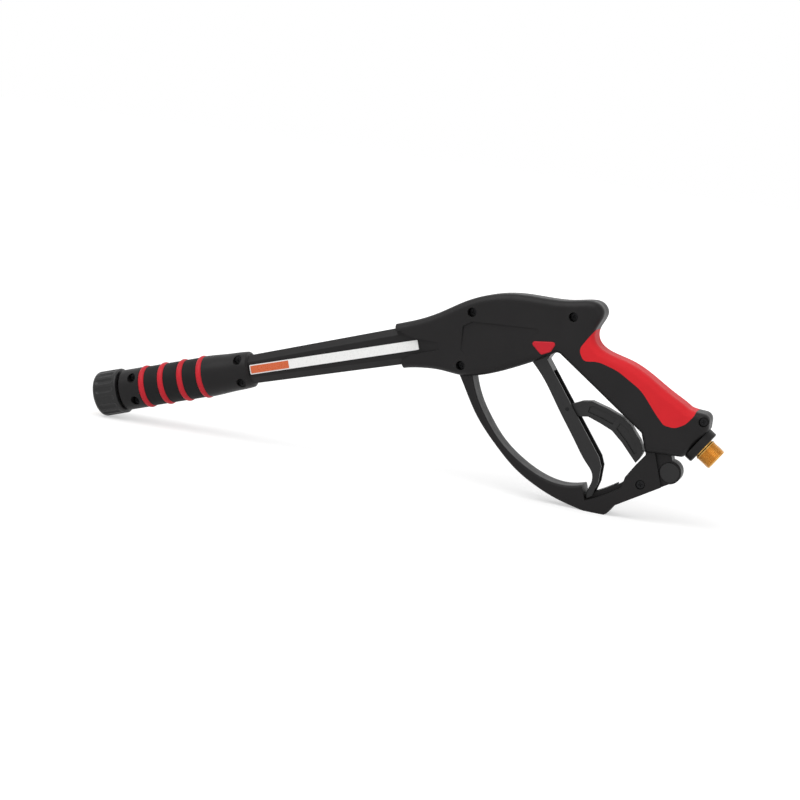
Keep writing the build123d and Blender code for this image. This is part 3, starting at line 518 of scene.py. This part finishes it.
@dataclass(frozen=True)
class Film(Finish):
    """Plastic film, slightly rippled, with a faint mottle."""

    roughness: float = 0.28
    ripple: float = 7.0
    ripple_depth: float = 0.05
    ripple_share: float = 0.8
    mottle: float = 1.2
    mottle_dark: float = 0.93
    mottle_gloss: float = 0.10
    rounding: float = 0.1

    def material(self) -> bpy.types.Material:
        """Makes the film's material.

        Returns:
            The material.
        """
        bench = MaterialBench(self.name)
        ripple = bench.noise(self.ripple, 2.0)
        mottle = bench.noise(self.mottle, 3.0)
        height = self.ripple_share * ripple + (1.0 - self.ripple_share) * mottle
        shader = bench.principled(
            Base_Color=bench.mix(mottle, self.shade(self.mottle_dark), self.colour),
            Roughness=self.roughness + self.mottle_gloss * (mottle - MIDDLE),
            Normal=bench.bump(height, self.ripple_depth, self.rounding),
        )
        return bench.surface(shader)


@cache
def material_of(finish: Finish) -> bpy.types.Material:
    """Returns a finish's material, made once however many pieces wear it."""
    return finish.material()


@dataclass(frozen=True)
class Palette:
    """The gun's finishes."""

    shell: Finish = MouldedPlastic("body_black", (0.0085, 0.0078, 0.0081), specular=0.18)
    smooth: Finish = MouldedPlastic(
        "smooth_black", (0.0095, 0.0093, 0.0096), Gloss.SEMI, 0.3, grain=0.4, grain_depth=0.02
    )
    rubber: Finish = MouldedPlastic(
        "band_rubber", (0.0085, 0.0085, 0.0088), Gloss.MATT, 0.15, grain=0.8
    )
    red: Finish = MouldedPlastic(
        "ring_red", (0.50, 0.013, 0.024), Gloss.SATIN, 0.18, grain=0.5, grain_depth=0.02
    )
    soft_red: Finish = SoftGrip("grip_red", (0.66, 0.018, 0.025))
    white_film: Finish = Film("strip_film", (0.84, 0.84, 0.83))
    orange_film: Finish = Film("strip_orange_film", (0.60, 0.105, 0.022))
    steel: Finish = DrawnSteel("bright_steel", (0.60, 0.60, 0.61))
    dark_steel: Finish = DrawnSteel("dark_screws", (0.022, 0.022, 0.023), 0.45)
    barrel_brass: Finish = TurnedMetal(
        "barrel_brass", (0.66, 0.39, 0.12), Axis.of_mount("lance_outlet")
    )
    inlet_brass: TurnedMetal = TurnedMetal(
        "inlet_brass", (0.66, 0.37, 0.10), Axis.of_mount("hose_inlet")
    )


# ---------------------------------------------------------------- sub-assemblies
@dataclass
class SubAssembly(ABC):
    """A group of the gun's pieces that is built and dressed together."""

    crease: float = 32.0  # degrees; a sharper edge stays sharp

    @abstractmethod
    def build(self, palette: Palette) -> None:
        """Builds and dresses the pieces in a palette's finishes."""

    def coat(self, finish: Finish, *names: str) -> None:
        """Gives CAD nodes one finish.

        Args:
            finish: The finish.
            *names: The nodes.
        """
        for name in names:
            skin = frame["nodes"][name].data
            skin.materials.clear()
            skin.materials.append(material_of(finish))
            skin.shade_smooth()
            skin.set_sharp_from_angle(angle=math.radians(self.crease))
            log.info("%s in %s", name, finish.name)


@dataclass
class Coupling(SubAssembly):
    """The fluted hand knob at the muzzle, with the nut, nipple and seal inside it."""

    def build(self, palette: Palette) -> None:
        """Dresses the coupling.

        Args:
            palette: The gun's finishes.
        """
        self.coat(palette.smooth, "coupling_knob")
        self.coat(palette.barrel_brass, "coupling_nut", "outlet_nipple")
        self.coat(palette.rubber, "outlet_seal")


@dataclass
class FrontGrip(SubAssembly):
    """The front grip's two halves, its raised rings, the bands between them and its screws."""

    rings: int = 4
    bands: int = 3

    def build(self, palette: Palette) -> None:
        """Dresses the front grip.

        Args:
            palette: The gun's finishes.
        """
        self.coat(palette.shell, "foregrip_left", "foregrip_right")
        self.coat(palette.red, *(f"grip_ring_{count + 1}" for count in range(self.rings)))
        self.coat(palette.rubber, *(f"grip_band_{count + 1}" for count in range(self.bands)))
        self.coat(palette.dark_steel, "foregrip_screws")


@dataclass
class Barrel(SubAssembly):
    """The shroud's two halves round the lance tube, with the strip along its side."""

    def build(self, palette: Palette) -> None:
        """Dresses the barrel.

        Args:
            palette: The gun's finishes.
        """
        self.coat(palette.shell, "shroud_left", "shroud_right")
        self.coat(palette.white_film, "side_strip")
        self.coat(palette.orange_film, "strip_block")
        self.coat(palette.steel, "lance_tube")


@dataclass
class Casing(SubAssembly):
    """The body, handle and guard in two halves, with their plates, inlay, caps and screws."""

    def build(self, palette: Palette) -> None:
        """Dresses the casing.

        Args:
            palette: The gun's finishes.
        """
        self.coat(palette.shell, "casing_left", "casing_right")
        self.coat(palette.red, "accent_left", "accent_right")
        self.coat(palette.soft_red, "grip_inlay")
        self.coat(palette.smooth, "tongue_cap_left", "tongue_cap_right")
        self.coat(palette.dark_steel, "casing_screws")
        self.coat(palette.steel, "tongue_bolt")


@dataclass
class TriggerGroup(SubAssembly):
    """The trigger and its folding lock lever, on their pins."""

    def build(self, palette: Palette) -> None:
        """Dresses the trigger group.

        Args:
            palette: The gun's finishes.
        """
        self.coat(palette.smooth, "trigger", "lock_lever")
        self.coat(palette.steel, "trigger_pin")
        self.coat(palette.dark_steel, "lock_pin")


@dataclass
class Valve(SubAssembly):
    """The ball valve that the trigger opens, inside the body."""

    def build(self, palette: Palette) -> None:
        """Dresses the valve.

        Args:
            palette: The gun's finishes.
        """
        self.coat(palette.barrel_brass, "valve_body", "gland_nut")
        self.coat(palette.steel, "push_pin", "valve_ball", "valve_spring", "valve_seat")
        self.coat(palette.rubber, "pin_seal")


@dataclass
class HoseInlet(SubAssembly):
    """The hose inlet: its collar, its tube, and the brass fitting with a rolled thread.

    Sizes are in millimetres. Stations run outwards along the inlet's axis.
    """

    mount_station: float = 9.0
    segments: int = 120
    thread_crease: float = 40.0  # degrees; a sharper edge stays sharp
    thread_radius: float = 11.0
    thread_depth: float = 0.85
    thread_start: float = 1.9
    pitch: float = 1.5
    flat_share: float = 0.12  # of half a pitch, at the crest and at the root
    rings_per_pitch: int = 10
    length: float = 16.0
    lead_chamfer: float = 1.2
    neck_radius: float = 10.0
    neck_chamfer: float = 0.4
    neck_rings: tuple[float, ...] = (-8.0, 0.9, 1.0)
    back: float = -24.0
    bore: float = 5.0
    mouth: tuple[tuple[float, float], ...] = ((0.0, 1.0), (0.1, 0.75), (0.8, 0.0))  # depth, flare
    socket: float = 5.05
    socket_end: float = -13.9

    def radius(self, station: float, turn: float) -> float:
        """Gives the thread's radius.

        Args:
            station: The distance along the inlet.
            turn: The place round it, 0 to 1.

        Returns:
            The radius.
        """
        phase = (station / self.pitch - turn) % 1.0
        flank_share = 1.0 - 2.0 * self.flat_share
        flank = min(1.0, max(0.0, (abs(phase - 0.5) * 2.0 - self.flat_share) / flank_share))
        run_in = min(1.0, max(0.0, (station - self.thread_start) / self.pitch))
        crest = self.thread_radius - self.thread_depth * flank * run_in
        chamfer_start = self.length - self.lead_chamfer
        return min(crest, self.thread_radius - max(0.0, station - chamfer_start))

    def outline(self) -> list[tuple[float, Optional[float]]]:
        """Lists the fitting's outline, out along its outside and back through its bore.

        Returns:
            Stations and radii, where a radius of None follows the thread.
        """
        threaded = self.length - self.thread_start
        steps = int(threaded / (self.pitch / self.rings_per_pitch))
        return [
            (self.back, self.socket),
            (self.back, self.neck_radius - self.neck_chamfer),
            (self.back + self.neck_chamfer, self.neck_radius),
            *((station, self.neck_radius) for station in self.neck_rings),
            *((self.thread_start + threaded * step / steps, None) for step in range(steps + 1)),
            *((self.length - depth, self.bore + flare) for depth, flare in self.mouth),
            (self.socket_end, self.bore),
            (self.socket_end, self.socket),
        ]

    def points(self, axis: Axis) -> list[Vector]:
        """Sweeps the outline round the inlet's axis.

        Args:
            axis: The axis through the inlet's mount.

        Returns:
            The points, ring by ring.
        """
        out = Vector(axis.direction).normalized()
        origin = Vector(axis.origin) - out * (self.mount_station * MM)
        side = out.cross(Vector((0, 1, 0))).normalized()
        third = out.cross(side)
        points: list[Vector] = []
        for station, radius in self.outline():
            for index in range(self.segments):
                turn = index / self.segments
                reach = self.radius(station, turn) if radius is None else radius
                angle = 2 * math.pi * turn
                spoke = side * math.cos(angle) + third * math.sin(angle)
                points.append(origin + (out * station + spoke * reach) * MM)
        return points

    def faces(self) -> list[tuple[int, int, int, int]]:
        """Joins each ring of points to the next, and the last to the first.

        Returns:
            The points' indices, four to a face.
        """
        rings = len(self.outline())
        faces: list[tuple[int, int, int, int]] = []
        for ring in range(rings):
            here, there = ring * self.segments, (ring + 1) % rings * self.segments
            for index in range(self.segments):
                beside = (index + 1) % self.segments
                faces.append((here + index, here + beside, there + beside, there + index))
        return faces

    def fitting(self, finish: TurnedMetal) -> None:
        """Builds the threaded fitting in place of its plain CAD solid.

        Args:
            finish: The metal.
        """
        mesh = bpy.data.meshes.new("threaded_inlet")
        mesh.from_pydata(self.points(finish.axis), [], self.faces())
        mesh.materials.append(material_of(finish))
        mesh.shade_smooth()
        mesh.set_sharp_from_angle(angle=math.radians(self.thread_crease))
        mesh.update()
        piece = bpy.data.objects.new("threaded_inlet", mesh)
        bpy.context.scene.collection.objects.link(piece)
        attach(piece, "gun")
        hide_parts("inlet_fitting")
        log.info("threaded_inlet in %s, %d faces", finish.name, len(mesh.polygons))

    def build(self, palette: Palette) -> None:
        """Builds the fitting and dresses the inlet.

        Args:
            palette: The gun's finishes.
        """
        self.coat(palette.shell, "inlet_collar")
        self.coat(palette.steel, "inlet_tube")
        self.coat(palette.inlet_brass, "inlet_fitting")
        self.fitting(palette.inlet_brass)


# ---------------------------------------------------------------- studio
@dataclass(frozen=True)
class SoftLamp:
    """One square soft lamp that faces the gun, in metres and watts."""

    name: str
    place: Triple
    size: float
    power: float
    aim: Triple = (0.0, 0.0, 0.08)

    def hang(self) -> None:
        """Hangs the lamp in the scene."""
        data = bpy.data.lights.new(self.name, "AREA")
        data.shape, data.size, data.energy = "SQUARE", self.size, self.power
        lamp = bpy.data.objects.new(self.name, data)
        lamp.location = self.place
        look = Vector(self.aim) - Vector(self.place)
        lamp.rotation_euler = look.to_track_quat("-Z", "Y").to_euler()
        bpy.context.scene.collection.objects.link(lamp)
        log.info("%s lamp", self.name)


@dataclass(frozen=True)
class Floor:
    """A wide pale bench top that shows white but keeps the gun's shadow, in metres.

    Rays that are seen get a share of plain glow. It rises away from the gun, where no shadow
    falls and the lamps fade.
    """

    reach: float = 30.0
    paper: Triple = (0.80, 0.80, 0.80)
    roughness: float = 0.9
    specular: float = 0.2
    glow_share: float = 0.26
    near_glow: float = 1.95
    far_glow: float = 3.05
    rise_at: float = 0.8
    rise_blend: float = 0.5

    def material(self) -> bpy.types.Material:
        """Makes the bench top's material.

        Returns:
            The material.
        """
        bench = MaterialBench("bench_paper")
        paper = bench.principled(
            Base_Color=self.paper, Roughness=self.roughness, Specular_IOR_Level=self.specular
        )
        away = bench.place().length().above(self.rise_at, self.rise_blend)
        colour = bench.mix(away, (self.near_glow,) * 3, (self.far_glow,) * 3)
        glow = bench.wire("ShaderNodeEmission", 0, {}, {"Color": colour})
        return bench.surface(bench.mix_shaders(self.glow_share * bench.in_view(), paper, glow))

    def lay(self) -> None:
        """Lays the floor under the gun."""
        corners = [(-1, -1), (1, -1), (1, 1), (-1, 1)]
        points = [(x * self.reach, y * self.reach, 0) for x, y in corners]
        mesh = bpy.data.meshes.new("bench")
        mesh.from_pydata(points, [], [(0, 1, 2, 3)])
        mesh.materials.append(self.material())
        floor = bpy.data.objects.new("bench", mesh)
        bpy.context.scene.collection.objects.link(floor)
        log.info("floor")


@dataclass(frozen=True)
class Camera:
    """The camera, turned about the point that it looks at, in metres and degrees."""

    aim: Triple = (0.00353, 0.0, 0.06963)
    azimuth: float = 16.325
    elevation: float = 8.386
    roll: float = -7.966
    distance: float = 1.697
    lens_mm: float = 79.425
    sensor_mm: float = 36.0
    nearest: float = 0.05
    farthest: float = 100.0

    def stand(self) -> None:
        """Stands the camera in the scene and makes it the scene's own."""
        turn, rise = math.radians(self.azimuth), math.radians(self.elevation)
        back = Vector((
            math.sin(turn) * math.cos(rise), -math.cos(turn) * math.cos(rise), math.sin(rise),
        ))
        level = (-back).cross(Vector((0, 0, 1))).normalized()
        upright = level.cross(-back)
        roll = math.radians(self.roll)
        up = upright * math.cos(roll) + level * math.sin(roll)
        right = (-back).cross(up)
        data = bpy.data.cameras.new("camera")
        data.lens, data.sensor_width = self.lens_mm, self.sensor_mm
        data.clip_start, data.clip_end = self.nearest, self.farthest
        camera = bpy.data.objects.new("camera", data)
        camera.location = Vector(self.aim) + back * self.distance
        camera.rotation_mode = "QUATERNION"
        camera.rotation_quaternion = Matrix((right, up, back)).transposed().to_quaternion()
        bpy.context.scene.collection.objects.link(camera)
        bpy.context.scene.camera = camera
        log.info("camera")


@dataclass(frozen=True)
class Studio:
    """The camera, the floor, a plain pale sky and three soft lamps."""

    camera: Camera = Camera()
    floor: Floor = Floor()
    sky_light: float = 0.62
    sky_shown: float = 1.0
    lamps: tuple[SoftLamp, ...] = (
        SoftLamp("key", (-0.45, -0.7, 1.5), 1.5, 17.0),
        SoftLamp("fill", (1.3, -1.2, 0.7), 1.0, 3.5),
        SoftLamp("rim", (0.3, 1.3, 1.3), 1.0, 3.0),
    )

    def sky(self) -> None:
        """Lights everything from a plain pale sky that shows white to the camera."""
        world = bpy.data.worlds.new("sky")
        bpy.context.scene.world = world
        world.use_nodes = True
        bench = NodeBench(world.node_tree)
        light, white = (
            bench.wire("ShaderNodeBackground", 0, {}, {"Color": WHITE, "Strength": strength})
            for strength in (self.sky_light, self.sky_shown)
        )
        shown = bench.mix_shaders(bench.in_view(), light, white)
        bench.node("ShaderNodeOutputWorld", {}, {"Surface": shown})
        log.info("sky")

    def build(self) -> None:
        """Sets up the whole studio."""
        self.camera.stand()
        self.floor.lay()
        self.sky()
        for lamp in self.lamps:
            lamp.hang()
        bpy.context.scene.view_settings.view_transform = "Standard"


def main() -> None:
    """Builds the studio and every sub-assembly."""
    logging.basicConfig(level=logging.INFO, format="%(name)s: %(message)s")
    Studio().build()
    palette = Palette()
    for group in (
        Coupling(), FrontGrip(), Barrel(), Casing(), TriggerGroup(), Valve(), HoseInlet(),
    ):
        group.build(palette)


if __name__ == "__main__":
    main()
